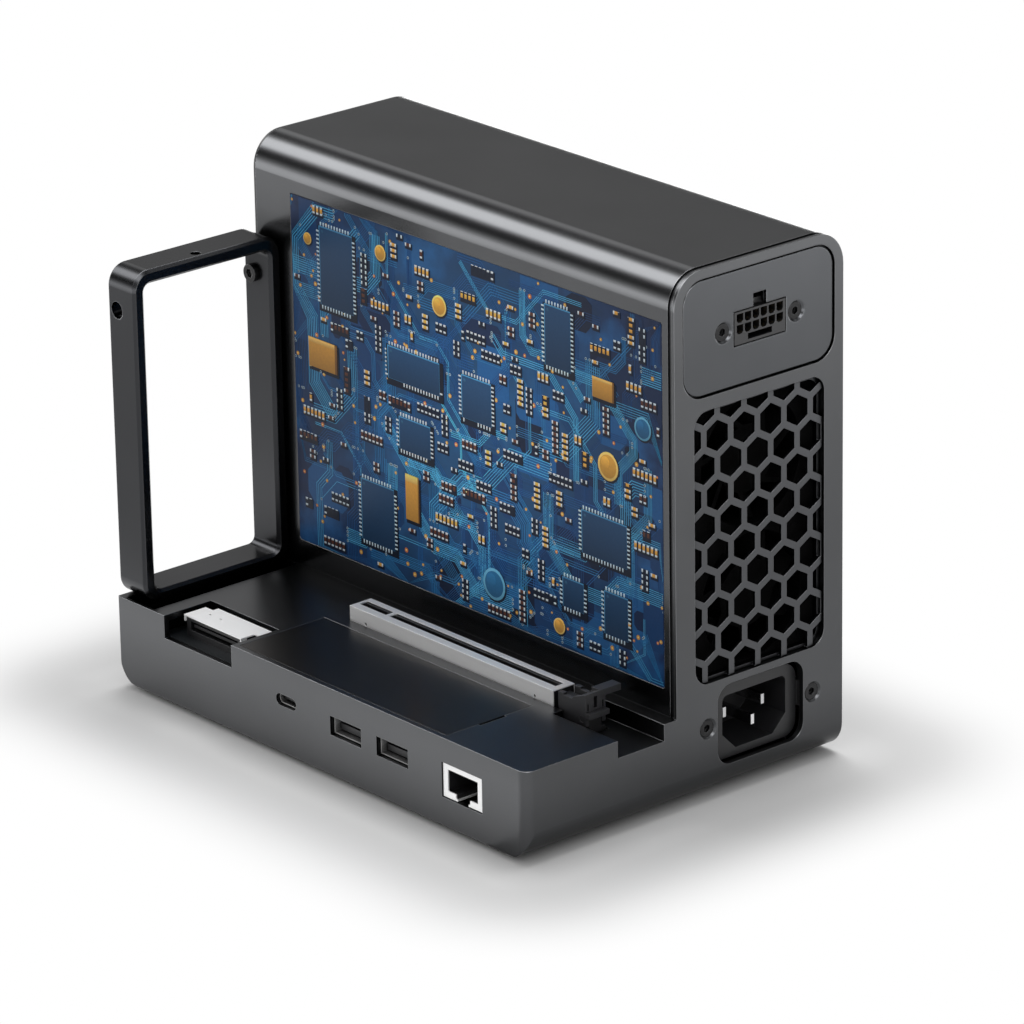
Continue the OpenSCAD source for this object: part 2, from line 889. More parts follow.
module tower_sleeve() {
    color("dimgray")
        difference() {
            union() {
                along_x(sleeve_x, sleeve_end_x)
                    difference() {
                        tower_profile(0, deck_z);
                        tower_profile(wall, deck_z - cut);
                    }
                for (p = tower_screw_places, s = [sign(p.y - tower_mid_y)])
                    box([p.x - tower_boss_l / 2, min(p.y - s * (tower_boss_w - tower_screw_in),
                        p.y + s * tower_screw_in), deck_z],
                        [p.x + tower_boss_l / 2, max(p.y - s * (tower_boss_w - tower_screw_in),
                        p.y + s * tower_screw_in), deck_z + tower_boss_h]);
            }
            along_y(tower_y - cut, tower_y + panel_t)
                round_rect([left_x + panel_left - panel_gap, deck_z + panel_up - panel_gap],
                    [right_x - panel_right + panel_gap, top_z - panel_down + panel_gap], panel_r);
            for (p = tower_screw_places)
                translate([p.x, p.y, deck_z - cut])
                    cylinder(d = screw_dia + 2 * screw_gap, h = cut + tower_screw_l);
            bar_y(tower_y - cut, tower_y + ring_screw_bite, left_x + ring_screw_in,
                ring_top_z - ring_screw_down, screw_dia + 2 * screw_gap);
            supply_axes()
                bar_y(back_y - wall - cut, back_y - wall + spacer_bite, 0, 0,
                    screw_dia + 2 * screw_gap);
        }
}

module left_end_plate() {
    color("black")
        difference() {
            union() {
                along_x(left_x, sleeve_x)
                    tower_profile(0, deck_z);
                along_x(sleeve_x, left_x + end_t)
                    tower_profile(wall + seat_gap, deck_z);
                spigot_ring(left_x + end_t, left_x + end_t + spigot_l);
                box([left_x + end_t, tower_mid_y - foot_block_w / 2, deck_z],
                    [left_x + end_t + foot_block_l, tower_mid_y + foot_block_w / 2,
                    deck_z + foot_block_h]);
            }
            along_x(left_x - cut, left_x + end_t + cut)
                window_outline();
            seat_bars(left_x + end_t - end_screw_bite, left_x + end_t + cut,
                screw_dia + 2 * screw_gap);
            for (p = foot_block_places)
                translate([p.x, p.y, deck_z - cut])
                    cylinder(d = screw_dia + 2 * screw_gap, h = cut + foot_screw_l);
        }
}

module tower_screws() {
    color("silver") {
        for (p = tower_screw_places)
            up_screw(p, deck_z - deck_t, screw_dia, deck_t + tower_screw_l - screw_gap);
        for (p = foot_block_places)
            up_screw(p, deck_z - deck_t, screw_dia, deck_t + foot_screw_l - screw_gap);
    }
}

module bottom_cover() {
    color("dimgray")
        difference() {
            along_z(base_z, base_z + cover_t)
                round_rect([left_x + cover_margin + seat_gap, front_y + cover_rim + seat_gap],
                    [right_x - cover_margin - seat_gap, back_y - cover_rim - seat_gap], cover_r);
            for (p = cover_boss_places)
                translate([p.x, p.y, base_z]) {
                    translate([0, 0, -cut])
                        cylinder(d = screw_dia + 2 * screw_gap, h = cover_t + 2 * cut);
                    cylinder(d1 = head_dia + 2 * screw_gap, d2 = screw_dia + 2 * screw_gap,
                        h = head_t);
                }
            for (p = foot_places)
                translate([p.x, p.y, base_z - cut])
                    cylinder(d = foot_dia + 2 * seat_gap, h = cut + foot_seat);
        }
}

module cover_screws() {
    color("silver")
        for (p = cover_boss_places)
            translate([p.x, p.y, base_z])
                difference() {
                    union() {
                        cylinder(d = screw_dia, h = cover_t + boss_hole_l - seat_gap);
                        cylinder(d1 = head_dia, d2 = screw_dia, h = head_t);
                    }
                    translate([0, 0, -cut])
                        cylinder(d = screw_dia / 2, h = cut + head_t, $fn = 6);
                }
}

module feet() {
    color("black")
        for (p = foot_places)
            translate([p.x, p.y, 0])
                cylinder(d = foot_dia, h = foot_h + foot_seat);
}

module drive_cover() {
    color("dimgray") {
        box([drive_x + drive_gap, drive_y + drive_gap, deck_z - drive_cover_t],
            [drive_x + drive_cover_l - drive_gap, drive_y + drive_cover_w - drive_gap, deck_z]);
        for (y = [drive_y + drive_ledge + drive_gap,
            drive_y + drive_cover_w - drive_ledge - drive_gap - drive_rib_w])
            box([drive_x + drive_ledge + drive_rib_in, y, deck_z - deck_t],
                [drive_x + drive_cover_l - drive_ledge - drive_rib_in, y + drive_rib_w,
                deck_z - drive_cover_t]);
    }
}

module side_panel() {
    color("black")
        along_y(tower_y, tower_y + panel_t)
            round_rect([left_x + panel_left, deck_z + panel_up],
                [right_x - panel_right, top_z - panel_down], panel_r);
}

module ring_frame() {
    color("dimgray")
        difference() {
            union() {
                along_x(left_x, ring_x - ring_bevel)
                    round_rect([ring_low_y, deck_z], [tower_y, ring_top_z], ring_r);
                flare(ring_x - ring_bevel, ring_bevel, [ring_low_y, deck_z],
                    [tower_y, ring_top_z], ring_r, -ring_bevel);
                box([left_x + trench_left + seat_gap, ring_low_y + tenon_in, deck_z - trench_depth],
                    [ring_x, tower_y - tenon_in, deck_z + ring_foot_t / 2]);
            }
            along_x(left_x - cut, ring_x + cut)
                round_rect([ring_low_y + ring_t, deck_z + ring_foot_t],
                    [tower_y - ring_t, ring_top_z - ring_t], ring_in_r);
            flare(ring_x - ring_bevel, 2 * ring_bevel, [ring_low_y + ring_t, deck_z + ring_foot_t],
                [tower_y - ring_t, ring_top_z - ring_t], ring_in_r, 2 * ring_bevel);
            bar_y(ring_low_y - cut, ring_low_y + ring_t + cut, left_x + ring_screw_in,
                ring_top_z - ring_screw_down, access_dia);
            bar_y(tower_y - ring_t - cut, tower_y + cut, left_x + ring_screw_in,
                ring_top_z - ring_screw_down, screw_dia + 2 * screw_gap);
            translate([ring_x - bracket_hole_in, bracket_hole_y, ring_top_z - ring_t - cut])
                cylinder(d = bracket_hole_dia, h = ring_t + 2 * cut);
            for (y = [ring_low_y + ring_base_screw_in, tower_y - ring_base_screw_in])
                translate([tenon_mid_x, y, deck_z - trench_depth - cut])
                    cylinder(d = screw_dia + 2 * screw_gap, h = cut + ring_base_screw_l);
        }
}

module ring_wall_screw() {
    color("silver")
        difference() {
            union() {
                bar_y(tower_y - ring_t, tower_y + ring_screw_bite - screw_gap,
                    left_x + ring_screw_in, ring_top_z - ring_screw_down, screw_dia);
                bar_y(tower_y - ring_t - head_t, tower_y - ring_t, left_x + ring_screw_in,
                    ring_top_z - ring_screw_down, head_dia);
            }
            bar_y(tower_y - ring_t - head_t - cut, tower_y - ring_t - head_t / 2,
                left_x + ring_screw_in, ring_top_z - ring_screw_down, screw_dia, $fn = 6);
        }
}

module ring_base_screws() {
    color("silver")
        for (y = [ring_low_y + ring_base_screw_in, tower_y - ring_base_screw_in])
            up_screw([tenon_mid_x, y], deck_z - trench_depth - pocket_t, screw_dia,
                pocket_t + ring_base_screw_l - screw_gap);
}

// The two slits that take the card's edge, from z0 to z1
module slit_boxes(y0, y1, z0, z1, edge) {
    box([slot_x + short_slit_start + edge, y0, z0],
        [slot_x + short_slit_start + short_slit_l - edge, y1, z1]);
    box([slot_x + short_slit_start + short_slit_l + key_l + edge, y0, z0],
        [slot_end_x - slit_end - edge, y1, z1]);
}

module slot_housing() {
    color("black")
        difference() {
            union() {
                box([slot_x + shield_t, slot_y - slot_w / 2 + shield_t, board_top_z],
                    [slot_end_x, slot_y + slot_w / 2 - shield_t, slot_top_z - shield_t]);
                box([slot_end_x, slot_y - latch_w / 2, board_top_z],
                    [pivot_x + post_r, slot_y + latch_w / 2, board_top_z + tail_h]);
                box([slot_end_x, slot_y - post_w / 2, board_top_z],
                    [slot_end_x + tail_post_l, slot_y + post_w / 2, slot_top_z - tail_post_top]);
                box([pivot_x - post_r, slot_y - post_w / 2, board_top_z],
                    [pivot_x + post_r, slot_y + post_w / 2, pivot_z]);
                bar_y(slot_y - post_w / 2, slot_y + post_w / 2, pivot_x, pivot_z, 2 * post_r);
            }
            slit_boxes(slot_y - card_slit / 2, slot_y + card_slit / 2,
                board_top_z + slit_floor, slot_top_z + cut, slit_edge);
            slit_boxes(slot_y + card_slit / 2 + lip_w, slot_y + shield_back + cut,
                slot_top_z - groove_up, slot_top_z + cut, slit_edge);
            bar_y(slot_y - slot_w, slot_y + slot_w, pivot_x, pivot_z, pin_dia);
        }
}

module slot_shield() {
    color("silver")
        difference() {
            box([slot_x, slot_y - slot_w / 2, board_top_z],
                [slot_end_x, slot_y + slot_w / 2, slot_top_z]);
            box([slot_x + shield_t, slot_y - slot_w / 2 + shield_t, board_top_z - cut],
                [slot_end_x + cut, slot_y + slot_w / 2 - shield_t, slot_top_z - shield_t]);
            slit_boxes(slot_y - shield_front, slot_y + shield_back,
                slot_top_z - shield_t - cut, slot_top_z + cut, 0);
            for (x = [slot_x + dot_in, slot_end_x - dot_in - dot_dia])
                bar_y(slot_y - slot_w / 2 - cut, slot_y - slot_w / 2 + shield_t, x,
                    deck_z + dot_dia / 2, dot_dia);
        }
}

module slot_contacts() {
    long_x = slot_x + short_slit_start + short_slit_l + key_l;
    color("gold")
        for (x = concat(
            [for (i = [1 : 5]) slot_x + short_slit_start + i * contact_pitch],
            [for (i = [1 : floor((slot_end_x - slit_end - long_x) / contact_pitch) - 1])
                long_x + i * contact_pitch]),
            s = [-1, 1])
            translate([x, slot_y + s * (card_slit / 2 - contact_t / 2),
                board_top_z + slit_floor + contact_h / 2])
                cube([contact_w, contact_t, contact_h], center = true);
}

module slot_latch() {
    low_y = slot_y - latch_w / 2;
    high_y = slot_y + latch_w / 2;
    end_x = pivot_x + pivot_in;
    top = pivot_z + latch_rise;
    color("dimgray")
        difference() {
            union() {
                for (y = [low_y, high_y - cheek_t])
                    along_y(y, y + cheek_t)
                        polygon([[end_x - cheek_start, pivot_z - latch_low],
                            [end_x, pivot_z - latch_low], [end_x, top],
                            [end_x - latch_slope_l, top - latch_slope_h],
                            [end_x - cheek_step, top - cheek_notch_h],
                            [end_x - cheek_notch, top - cheek_notch_h],
                            [end_x - cheek_notch, top - cheek_down],
                            [end_x - cheek_start, top - cheek_down]]);
                along_y(low_y, high_y)
                    polygon([[end_x - end_block_l, pivot_z + end_block_up],
                        [end_x, pivot_z + end_block_up], [end_x, top],
                        [end_x - end_block_l, top - end_block_l * latch_slope_h / latch_slope_l]]);
                box([pivot_x + toe_start, low_y, pivot_z + toe_low],
                    [end_x + toe_l, high_y, pivot_z + end_block_up]);
                box([end_x - wing_l, high_y - wing_t, top - wing_t],
                    [end_x, high_y + wing_w, top]);
            }
            box([end_x - slot_cut_d, slot_y - slot_cut_w / 2, pivot_z + slot_cut_low],
                [end_x + cut, slot_y + slot_cut_w / 2, pivot_z + slot_cut_high]);
            for (y = [slot_y - nick_y, slot_y + nick_y])
                box([end_x - nick_w, y - nick_w / 2, pivot_z + nick_low],
                    [end_x + cut, y + nick_w / 2, pivot_z + nick_high]);
            bar_y(low_y - cut, high_y + cut, pivot_x, pivot_z, pin_dia + 2 * run_gap);
        }
}

module latch_pin() {
    half_l = latch_w / 2 - pin_in;
    color("silver")
        bar_y(slot_y - half_l, slot_y + half_l, pivot_x, pivot_z, pin_dia);
}

module main_board() {
    color("darkgreen")
        difference() {
            box([board_left_x, board_front_y, board_z], [board_right_x, board_back_y, board_top_z]);
            translate([right_x - boss_in, front_y + boss_front, board_z - cut])
                cylinder(d = boss_dia + 2 * seat_gap, h = board_t + 2 * cut);
            for (p = board_boss_places)
                translate([p.x, p.y, board_z - cut])
                    cylinder(d = board_screw_dia + 2 * screw_gap, h = board_t + 2 * cut);
        }
}

module board_screws() {
    color("silver")
        for (p = board_boss_places)
            up_screw(p, board_z, board_screw_dia, board_screw_l);
}

module drive_socket() {
    socket_x = drive_x + drive_socket_in;
    mid_y = drive_y + drive_cover_w / 2;
    color("black")
        difference() {
            box([socket_x, mid_y - drive_socket_w / 2, board_top_z],
                [socket_x + drive_socket_l, mid_y + drive_socket_w / 2,
                board_top_z + drive_socket_h]);
            box([socket_x + drive_socket_l - drive_slit_d, mid_y - drive_slit_w / 2,
                board_top_z + drive_slit_up],
                [socket_x + drive_socket_l + cut, mid_y + drive_slit_w / 2,
                board_top_z + drive_slit_up + drive_slit_h]);
        }
}

module host_shell() {
    x0 = host_x + host_side;
    x1 = x0 + host_body_l;
    y0 = front_y + host_front;
    y1 = y0 + host_body_d;
    top = board_top_z + host_h;
    color("silver")
        difference() {
            union() {
                along_z(top - host_plate_t, top)
                    polygon([[x0, y0], [x1, y0], [x1, y0 + host_step_d],
                        [x1 + host_step, y0 + host_step_d], [x1 + host_step, y1],
                        [x0 + host_notch_l, y1], [x0 + host_notch_l, y1 - host_notch_d],
                        [x0, y1 - host_notch_d]]);
                for (x = [x0, x1 - host_plate_t])
                    box([x, y0, top - host_skirt_h],
                        [x + host_plate_t, y0 + host_skirt_d, top - host_plate_t / 2]);
                box([x1 + host_step - host_plate_t, y0 + host_step_d, board_top_z],
                    [x1 + host_step, y1, top - host_plate_t / 2]);
                box([x0 + host_notch_l, y1 - host_plate_t, board_top_z],
                    [x1 + host_step, y1, top - host_plate_t / 2]);
            }
            for (x = [x0 + host_hole_in, x0 + host_hole_in + host_hole_gap])
                box([x, y0 + host_hole_in, top - host_plate_t - cut],
                    [x + host_hole_l, y0 + host_hole_in + host_hole_w, top + cut]);
        }
}

module host_insert() {
    x0 = host_x + host_side + host_plate_t;
    x1 = x0 + host_body_l - 2 * host_plate_t;
    y0 = front_y + host_front + host_lip;
    y1 = front_y + host_front + host_body_d - host_notch_d;
    mid_x = (x0 + x1) / 2;
    mouth_z = board_top_z + host_mouth_up;
    color("black")
        difference() {
            box([x0, y0, board_top_z], [x1, y1, board_top_z + host_h - host_plate_t]);
            difference() {
                box([mid_x - host_mouth_l / 2, y0 - cut, mouth_z],
                    [mid_x + host_mouth_l / 2, y0 + host_mouth_d, mouth_z + host_mouth_h]);
                box([mid_x - host_mouth_l / 2 + host_tongue_t, y0 + host_lip,
                    mouth_z + host_mouth_h / 2 - host_tongue_t / 2],
                    [mid_x + host_mouth_l / 2 - host_tongue_t, y0 + host_mouth_d + cut,
                    mouth_z + host_mouth_h / 2 + host_tongue_t / 2]);
            }
        }
}

module small_port_shell() {
    x = small_port_x;
    y = front_y + small_front;
    color("silver")
        along_y(y, y + small_d)
            difference() {
                pill([x - small_w / 2, board_z - small_h], [x + small_w / 2, board_z]);
                pill([x - small_w / 2 + shell_t, board_z - small_h + shell_t],
                    [x + small_w / 2 - shell_t, board_z - shell_t]);
            }
}

module small_port_tongue() {
    x = small_port_x;
    y = front_y + small_front;
    z = board_z - small_h / 2;
    color("black") {
        along_y(y + small_d - port_back_t, y + small_d)
            pill([x - small_w / 2 + shell_t, board_z - small_h + shell_t],
                [x + small_w / 2 - shell_t, board_z - shell_t]);
        box([x - small_tongue_w / 2, y + small_tongue_in, z - small_tongue_t / 2],
            [x + small_tongue_w / 2, y + small_d - port_back_t, z + small_tongue_t / 2]);
    }
}

module wide_port_shells() {
    y = front_y + port_front;
    color("silver")
        for (x = [wide_port_x, wide_port_x + wide_port_pitch])
            along_y(y, y + wide_d)
                difference() {
                    rect([x - wide_w / 2, board_z - wide_h], [x + wide_w / 2, board_z]);
                    rect([x - wide_w / 2 + shell_t, board_z - wide_h + shell_t],
                        [x + wide_w / 2 - shell_t, board_z - shell_t]);
                }
}

module wide_port_inserts() {
    y = front_y + port_front;
    tongue_z = board_z - wide_h + wide_tongue_up;
    color("black")
        for (x = [wide_port_x, wide_port_x + wide_port_pitch]) {
            box([x - wide_w / 2 + shell_t, y + wide_d - port_back_t, board_z - wide_h + shell_t],
                [x + wide_w / 2 - shell_t, y + wide_d, board_z - shell_t]);
            box([x - wide_tongue_w / 2, y + wide_tongue_in, tongue_z],
                [x + wide_tongue_w / 2, y + wide_d - port_back_t, tongue_z + wide_tongue_t]);
        }
}

// Opening of the network port in its front face
module net_opening(x, z) {
    low_z = z - net_cavity_drop - net_cavity_h;
    rect([x - net_cavity_w / 2, low_z], [x + net_cavity_w / 2, z - net_cavity_drop]);
    rect([x - net_step_w / 2, low_z - net_step_h], [x + net_step_w / 2, low_z + net_step_h]);
    rect([x - net_notch_w / 2, z - net_h - cut], [x + net_notch_w / 2, low_z]);
}

module net_port_shield() {
    x = net_port_x;
    y = front_y + net_front;
    z = board_z + net_over;
    color("silver")
        difference() {
            union() {
                box([x - net_w / 2, y, z - net_h], [x + net_w / 2, y + net_plate_d, z]);
                box([x - net_w / 2, y, z - net_h], [x + net_w / 2, y + net_d, board_z]);
            }
            box([x - net_w / 2 + net_shell_t, y + net_shell_t, z - net_h + net_shell_t],
                [x + net_w / 2 - net_shell_t, y + net_d - net_shell_t, board_z - net_shell_t]);
            along_y(y - cut, y + net_plate_d)
                net_opening(x, z);
            box([x - net_notch_w / 2, y - cut, z - net_h - cut],
                [x + net_notch_w / 2, y + net_cavity_d, z - net_h + net_shell_t]);
        }
}

module net_port_insert() {
    x = net_port_x;
    y = front_y + net_front;
    z = board_z + net_over;
    color("black")
        difference() {
            box([x - net_w / 2 + net_shell_t, y + net_shell_t, z - net_h + net_shell_t],
                [x + net_w / 2 - net_shell_t, y + net_d - net_shell_t, board_z - net_shell_t]);
            along_y(y - cut, y + net_cavity_d)
                net_opening(x, z - net_roof);
        }
}

module socket_plate() {
    color("dimgray")
        difference() {
            along_x(right_x - plate_sink - plate_t, right_x - plate_sink)
                difference() {
                    round_rect([tower_y + plate_margin, top_z - plate_top - plate_h],
                        [back_y - plate_margin, top_z - plate_top], plate_r);
                    rect([socket_y - socket_w / 2 - socket_gap,
                        socket_z - socket_h / 2 - socket_gap],
                        [socket_y + socket_w / 2 + socket_gap,
                        socket_z + socket_h / 2 + socket_gap]);
                    rect([socket_y - latch_slot_w / 2, socket_z],
                        [socket_y + latch_slot_w / 2, socket_z + socket_h / 2 + latch_slot_h]);
                }
            for (s = [-1, 1])
                sunk_screw_x(right_x - plate_sink, socket_y + s * socket_screw_gap / 2, socket_z,
                    screw_dia, plate_t + cut, screw_gap);
        }
}

module power_socket() {
    face_x = right_x - plate_sink;
    low_z = socket_z - socket_h / 2;
    color("black")
        difference() {
            union() {
                box([face_x - socket_depth, socket_y - socket_w / 2, low_z],
                    [face_x, socket_y + socket_w / 2, low_z + socket_h]);
                box([right_x - end_t - socket_ear_t, socket_y - socket_ear_w / 2,
                    socket_z - socket_ear_h / 2],
                    [right_x - end_t, socket_y + socket_ear_w / 2, socket_z + socket_ear_h / 2]);
            }
            along_x(face_x - socket_cell_depth, face_x + cut) {
                for (i = [0 : socket_columns - 1], j = [0, 1])
                    translate([socket_y + (i - (socket_columns - 1) / 2) * socket_pitch,
                        low_z + socket_cell_up + j * socket_row_pitch])
                        polygon([[-socket_cell / 2, socket_cell_cut],
                            [-socket_cell / 2 + socket_cell_cut, 0],
                            [socket_cell / 2 - socket_cell_cut, 0],
                            [socket_cell / 2, socket_cell_cut],
                            [socket_cell / 2, socket_cell_h],
                            [-socket_cell / 2, socket_cell_h]]);
                rect([socket_y - sideband_w / 2, low_z + sideband_up],
                    [socket_y + sideband_w / 2, low_z + sideband_up + sideband_h]);
            }
            power_pin_bars();
            for (s = [-1, 1])
                bar_x(right_x - end_t - socket_ear_t - cut, right_x - end_t + cut,
                    socket_y + s * socket_screw_gap / 2, socket_z, screw_dia + 2 * screw_gap);
        }
}

module power_pin_bars() {
    end_x = right_x - plate_sink - power_pin_in;
    for (i = [0 : socket_columns - 1], j = [0, 1])
        bar_x(end_x - power_pin_l, end_x,
            socket_y + (i - (socket_columns - 1) / 2) * socket_pitch,
            socket_z - socket_h / 2 + socket_cell_up + j * socket_row_pitch + socket_cell_h / 2,
            power_pin_dia);
}

module power_pins() {
    color("gold")
        power_pin_bars();
}

module sunk_screws_x(x, y, z, gap, l) {
    for (s = [-1, 1])
        difference() {
            sunk_screw_x(x, y + s * gap / 2, z, screw_dia, l, 0);
            bar_x(x - head_sink, x + cut, y + s * gap / 2, z, 2 * countersink_dia);
            bar_x(x - drive_depth, x + cut, y + s * gap / 2, z, drive_dia, $fn = 6);
        }
}

module socket_screws() {
    color("silver")
        sunk_screws_x(right_x - plate_sink, socket_y, socket_z, socket_screw_gap, socket_screw_l);
}

// Honeycomb of six-sided cells, standing on a corner and staggered by rows
module cells() {
    row = cell_pitch * cos(30);
    for (i = [-cell_rows : cell_rows], j = [-cell_columns : cell_columns])
        translate([tower_mid_y + cell_side_shift + (j + (i % 2 == 0 ? 0 : 1 / 2)) * cell_pitch,
            window_mid_z + cell_up_shift + (i + 1 / 2) * row])
            rotate(90)
                circle(d = (cell_pitch - cell_web) / cos(30), $fn = 6);
}

// Pressed sheet tray: a flange behind the end and a pierced face that fills the window
module grille() {
    seat_x = right_x - end_t;
    face_x = right_x - grille_sink;
    color("dimgray")
        difference() {
            union() {
                along_x(seat_x - grille_t, seat_x)
                    seat_outline();
                along_x(seat_x - grille_t, face_x)
                    window_outline(-grille_gap);
            }
            along_x(seat_x - grille_t - cut, face_x - grille_t)
                window_outline(-grille_gap - grille_t);
            along_x(face_x - grille_t - cell_dip, face_x + cut)
                cells();
            seat_bars(seat_x - grille_t - cut, right_x, screw_dia + 2 * screw_gap);
        }
}

module exhaust_grille() {
    grille();
}

module intake_grille() {
    mirror([1, 0, 0])
        grille();
}

// Screw axes of both fans, for a bar of diameter d from x0 to x1
module fan_bars(x0, x1, d) {
    for (mid = fan_mid_z, y = [-1, 1], z = [-1, 1])
        bar_x(x0, x1, tower_mid_y + y * (fan_w / 2 - fan_hole_in),
            mid + z * (fan_w / 2 - fan_hole_in), d);
}

module fan_bracket() {
    color("silver")
        difference() {
            along_x(fan_x + fan_d, fan_x + fan_d + bracket_t)
                seat_outline();
            for (z = fan_mid_z)
                bar_x(fan_x, right_x, tower_mid_y, z, fan_bore);
            seat_bars(fan_x, right_x, screw_dia + 2 * screw_gap);
            fan_bars(fan_x, right_x, fan_screw_dia + 2 * screw_gap);
        }
}

module end_screws() {
    right_seat = right_x - end_t - grille_t - bracket_t;
    left_seat = left_x + end_t + grille_t;
    color("silver") {
        seat_bars(right_seat, right_x - end_t + end_screw_bite - screw_gap, screw_dia);
        seat_bars(left_x + end_t - end_screw_bite + screw_gap, left_seat, screw_dia);
        difference() {
            union() {
                seat_bars(right_seat - head_t, right_seat, head_dia);
                seat_bars(left_seat, left_seat + head_t, head_dia);
            }
            seat_bars(right_seat - head_t - cut, right_seat - head_t / 2, screw_dia);
            seat_bars(left_seat + head_t / 2, left_seat + head_t + cut, screw_dia);
        }
    }
}

module fan_frames() {
    color("black")
        for (z = fan_mid_z)
            difference() {
                union() {
                    difference() {
                        box([fan_x, tower_mid_y - fan_w / 2, z - fan_w / 2],
                            [fan_x + fan_d, tower_mid_y + fan_w / 2, z + fan_w / 2]);
                        bar_x(fan_x - cut, fan_x + fan_d + cut, tower_mid_y, z, fan_bore);
                    }
                    bar_x(fan_x, fan_x + fan_base_t, tower_mid_y, z, fan_base_dia);
                    bar_x(fan_x, fan_x + bearing_l, tower_mid_y, z, bearing_dia);
                    for (a = [45, 135])
                        translate([fan_x, tower_mid_y, z])
                            rotate([a, 0, 0])
                                box([0, -fan_bore / 2 - strut_w / 2, -strut_w / 2],
                                    [fan_base_t, fan_bore / 2 + strut_w / 2, strut_w / 2]);
                }
                bar_x(fan_x - cut, fan_x + fan_d, tower_mid_y, z, shaft_dia + 2 * run_gap);
                fan_bars(fan_x - cut, fan_x + fan_d + cut, fan_screw_dia + 2 * fan_screw_gap);
            }
}

module fan_screws() {
    color("silver") {
        fan_bars(fan_x, fan_x + fan_d + bracket_t, fan_screw_dia);
        difference() {
            fan_bars(fan_x - head_t, fan_x, head_dia);
            fan_bars(fan_x - head_t - cut, fan_x - head_t / 2, screw_dia);
        }
    }
}

module rotor(z) {
    low_x = fan_x + fan_base_t + rotor_gap;
    high_x = fan_x + fan_d - rotor_gap;
    bar_x(fan_x, high_x, tower_mid_y, z, shaft_dia);
    difference() {
        bar_x(low_x, high_x, tower_mid_y, z, hub_dia);
        bar_x(low_x - cut, high_x - hub_t, tower_mid_y, z, hub_dia - 2 * hub_t);
    }
    intersection() {
        difference() {
            bar_x(low_x, high_x, tower_mid_y, z, fan_bore - 2 * blade_gap_r);
            bar_x(low_x - cut, high_x + cut, tower_mid_y, z, hub_dia - hub_t);
        }
        for (i = [1 : fan_blades])
            translate([(low_x + high_x) / 2, tower_mid_y, z])
                rotate([i * 360 / fan_blades, 0, 0])
                    rotate([0, 0, fan_pitch_deg])
                        translate([-fan_d, -blade_plate_t / 2, 0])
                            cube([2 * fan_d, blade_plate_t, fan_bore / 2]);
    }
}

module upper_rotor() {
    color("black")
        rotor(fan_mid_z[1]);
}

module lower_rotor() {
    color("black")
        rotor(fan_mid_z[0]);
}

// Opening of the mains inlet in the end wall
module inlet_outline() {
    round_rect([inlet_y - inlet_w / 2, inlet_z - inlet_h / 2],
        [inlet_y + inlet_w / 2, inlet_z + inlet_h / 2], inlet_r);
}

// Outline of the inlet's cavity, its lower corners cut
module cavity_outline() {
    z = inlet_z - cavity_drop;
    low = [inlet_y - cavity_w / 2, z - cavity_h / 2];
    high = [inlet_y + cavity_w / 2, z + cavity_h / 2];
    polygon([[low.x, high.y - cavity_r], [low.x, low.y + cavity_cut],
        [low.x + cavity_cut, low.y], [high.x - cavity_cut, low.y],
        [high.x, low.y + cavity_cut], [high.x, high.y - cavity_r]]);
    arch([low.x, inlet_z], high, cavity_r);
}

module inlet_body() {
    face_x = right_x - inlet_sink;
    color("black")
        difference() {
            union() {
                along_x(face_x - inlet_depth, face_x)
                    round_rect([inlet_y - inlet_w / 2 + inlet_gap, inlet_z - inlet_h / 2 + inlet_gap],
                        [inlet_y + inlet_w / 2 - inlet_gap,
                        inlet_z + inlet_h / 2 - inlet_top_gap],
                        inlet_r - inlet_gap);
                along_x(right_x - wall - inlet_ear_t, right_x - wall)
                    round_rect([inlet_y - inlet_ear_w / 2,
                        inlet_z + inlet_screw_rise - inlet_ear_h / 2],
                        [inlet_y + inlet_ear_w / 2, inlet_z + inlet_screw_rise + inlet_ear_h / 2],
                        inlet_ear_r);
            }
            along_x(face_x, right_x)
                inlet_outline();
            along_x(face_x - cavity_depth, face_x + cut)
                cavity_outline();
            blades(cut);
            for (s = [-1, 1])
                bar_x(right_x - wall - inlet_ear_t - cut, right_x, inlet_y
                    + s * inlet_screw_gap / 2, inlet_z + inlet_screw_rise,
                    screw_dia + 2 * screw_gap);
        }
}

// Blades through the inlet's back wall with their tabs behind it
module blades(over) {
    face_x = right_x - inlet_sink;
    back_x = face_x - inlet_depth;
    for (p = blade_places)
        box([back_x - over, p.x - blade_t / 2, p.y - blade_w / 2],
            [face_x - p.z, p.x + blade_t / 2, p.y + blade_w / 2]);
}

module inlet_pins() {
    back_x = right_x - inlet_sink - inlet_depth;
    color("silver") {
        blades(0);
        for (p = blade_places)
            box([back_x - tab_l, p.x - tab_t / 2, p.y - blade_w / 2],
                [back_x, p.x + tab_t / 2, p.y + blade_w / 2]);
    }
}

module inlet_screws() {
    color("silver")
        sunk_screws_x(right_x, inlet_y, inlet_z + inlet_screw_rise, inlet_screw_gap,
            inlet_screw_l);
}

// Mounting points of the supply board, as positions in X and Z
module supply_axes() {
    for (x = [supply_x + supply_hole_in, supply_end_x - supply_hole_in],
        z = [supply_z + supply_hole_in, supply_top_z - supply_hole_in])
        translate([x, 0, z])
            children();
}

module supply_board() {
    color("darkgreen")
        difference() {
            box([supply_x, supply_front_y, supply_z], [supply_end_x, supply_back_y, supply_top_z]);
            supply_axes()
                bar_y(supply_front_y - cut, supply_back_y + cut, 0, 0, screw_dia + 2 * screw_gap);
        }
}

module supply_spacers() {
    color("gold")
        supply_axes()
            difference() {
                bar_y(supply_back_y, back_y - wall, 0, 0, spacer_dia);
                bar_y(supply_back_y - cut, back_y, 0, 0, screw_dia + 2 * screw_gap);
            }
}

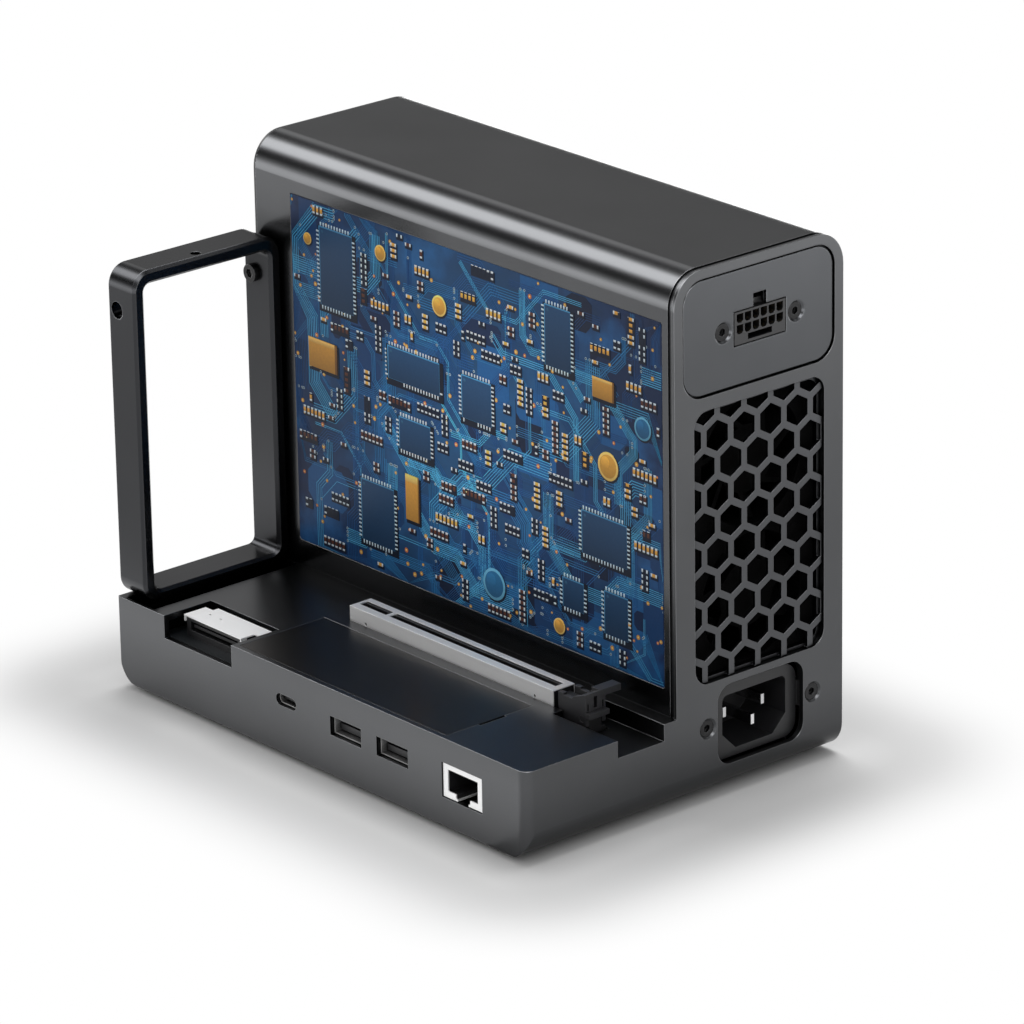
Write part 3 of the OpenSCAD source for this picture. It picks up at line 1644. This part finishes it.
module supply_screws() {
    color("silver")
        supply_axes() {
            bar_y(supply_front_y, back_y - wall + spacer_bite - screw_gap, 0, 0, screw_dia);
            difference() {
                bar_y(supply_front_y - head_t, supply_front_y, 0, 0, head_dia);
                bar_y(supply_front_y - head_t - cut, supply_front_y - head_t / 2, 0, 0,
                    screw_dia, $fn = 6);
            }
        }
}

module transformer() {
    low = [supply_x + core_x, supply_z + core_z];
    color("dimgray")
        along_y(supply_front_y - core_d, supply_front_y)
            difference() {
                rect(low, [low.x + core_w, low.y + core_h]);
                rect([low.x + core_leg, low.y + core_leg],
                    [low.x + core_w - core_leg, low.y + core_h - core_leg]);
            }
}

module winding() {
    low = [supply_x + core_x + core_leg + winding_gap, supply_z + core_z + core_leg + winding_gap];
    size = [core_w - 2 * core_leg - 2 * winding_gap, core_h - 2 * core_leg - 2 * winding_gap];
    color("gold")
        along_y(supply_front_y - core_d - core_leg, supply_front_y)
            round_rect(low, low + size, winding_r);
}

module can(x, z, d, l) {
    bar_y(supply_front_y - l, supply_front_y, x, z, d);
    bar_y(supply_front_y - l * bead_end_share, supply_front_y - l * bead_start_share, x, z,
        d + can_bead);
}

module capacitors() {
    color("darkslateblue") {
        for (i = [0, 1])
            can(supply_x + can_in + i * can_step, supply_top_z - can_down, can_dia, can_l);
        for (i = [0 : 3])
            can(supply_x + small_can_x + i * small_can_step, supply_z + small_can_z,
                small_can_dia, small_can_l);
    }
}

module heat_sinks() {
    color("silver")
        for (j = [0, 1]) {
            low = [supply_x + sink_x, supply_top_z - sink_down + j * sink_pitch];
            box([low.x, supply_front_y - sink_d, low.y],
                [low.x + sink_w, supply_front_y, low.y + sink_t]);
            for (i = [0 : fin_count - 1])
                box([low.x + i * (sink_w - fin_t) / (fin_count - 1), supply_front_y - sink_d,
                    low.y + sink_t],
                    [low.x + i * (sink_w - fin_t) / (fin_count - 1) + fin_t, supply_front_y,
                    low.y + sink_t + fin_l]);
        }
}

module choke() {
    color("darkred")
        translate([supply_x + choke_x, supply_front_y - choke_t / 2, supply_z + choke_z])
            rotate([90, 0, 0])
                rotate_extrude()
                    round_rect([choke_bore / 2, -choke_t / 2], [choke_dia / 2, choke_t / 2],
                        choke_r);
}

chassis();
tower_sleeve();
left_end_plate();
tower_screws();
bottom_cover();
cover_screws();
feet();
drive_cover();
side_panel();
ring_frame();
ring_wall_screw();
ring_base_screws();
slot_housing();
slot_shield();
slot_contacts();
slot_latch();
latch_pin();
main_board();
board_screws();
drive_socket();
host_shell();
host_insert();
small_port_shell();
small_port_tongue();
wide_port_shells();
wide_port_inserts();
net_port_shield();
net_port_insert();
socket_plate();
power_socket();
power_pins();
socket_screws();
exhaust_grille();
intake_grille();
fan_bracket();
end_screws();
fan_frames();
fan_screws();
upper_rotor();
lower_rotor();
inlet_body();
inlet_pins();
inlet_screws();
supply_board();
supply_spacers();
supply_screws();
transformer();
winding();
capacitors();
heat_sinks();
choke();
